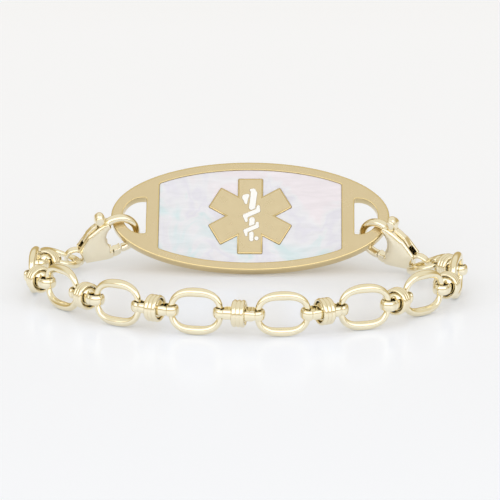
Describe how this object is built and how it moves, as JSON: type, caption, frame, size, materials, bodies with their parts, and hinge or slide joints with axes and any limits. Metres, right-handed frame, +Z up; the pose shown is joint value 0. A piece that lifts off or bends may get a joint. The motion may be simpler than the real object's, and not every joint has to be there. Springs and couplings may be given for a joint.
{
  "type": "medical alert bracelet",
  "caption": "Chain bracelet with an oval medical identity plaque, pearl inlay and raised six-armed star, held at both ends by sprung lobster clasps.",
  "frame": {"origin": "on the surface the bracelet stands on, under the middle of its box", "axes": "+X along the plaque to the right as seen from the front, +Y from the front of the chain to the plaque at the back, +Z up"},
  "size_m": [0.0686, 0.051, 0.0162],
  "materials": {
    "plaque_gold": "satin",
    "star_gold": "satin",
    "pearl": "polished",
    "enamel": "gloss",
    "clasp_gold": "polished",
    "chain_gold": "polished",
    "ring_gold": "polished"
  },
  "bodies": {
    "bracelet": {"plaque": "plaque_gold", "pearl_inlay": "pearl", "medical_star": "star_gold", "enamel_serpent": "enamel", "enamel_staff": "enamel", "clasp_body_left": "clasp_gold", "clasp_body_right": "clasp_gold", "link_1": "chain_gold", "link_2": "chain_gold", "link_3": "chain_gold", "link_4": "chain_gold", "link_5": "chain_gold", "link_6": "chain_gold", "link_7": "chain_gold", "link_8": "chain_gold", "link_9": "chain_gold", "link_10": "chain_gold", "connector_loop_1": "chain_gold", "connector_loop_2": "chain_gold", "connector_loop_3": "chain_gold", "connector_loop_4": "chain_gold", "connector_loop_5": "chain_gold", "connector_loop_6": "chain_gold", "connector_loop_7": "chain_gold", "connector_loop_8": "chain_gold", "connector_loop_9": "chain_gold", "ribbed_ring_1": "ring_gold", "ribbed_ring_2": "ring_gold", "ribbed_ring_3": "ring_gold", "ribbed_ring_4": "ring_gold", "ribbed_ring_5": "ring_gold", "ribbed_ring_6": "ring_gold", "ribbed_ring_7": "ring_gold", "ribbed_ring_8": "ring_gold", "ribbed_ring_9": "ring_gold"},
    "lever_left": {"clasp_lever_left": "clasp_gold"},
    "lever_right": {"clasp_lever_right": "clasp_gold"}
  },
  "joints": [
    {"name": "lever_left_pivot", "type": "hinge", "parent": "bracelet", "child": "lever_left", "pos_m": [-0.02461, 0.01832, 0.00273], "axis": [0.2383, -0.915, -0.3256], "range_deg": [0, 24], "stiffness_Nm_per_rad": 0.03, "springref_deg": -20.05},
    {"name": "lever_right_pivot", "type": "hinge", "parent": "bracelet", "child": "lever_right", "pos_m": [0.02492, 0.01505, 0.00248], "axis": [0.5461, 0.8005, 0.247], "range_deg": [0, 24], "stiffness_Nm_per_rad": 0.03, "springref_deg": -20.05}
  ]
}
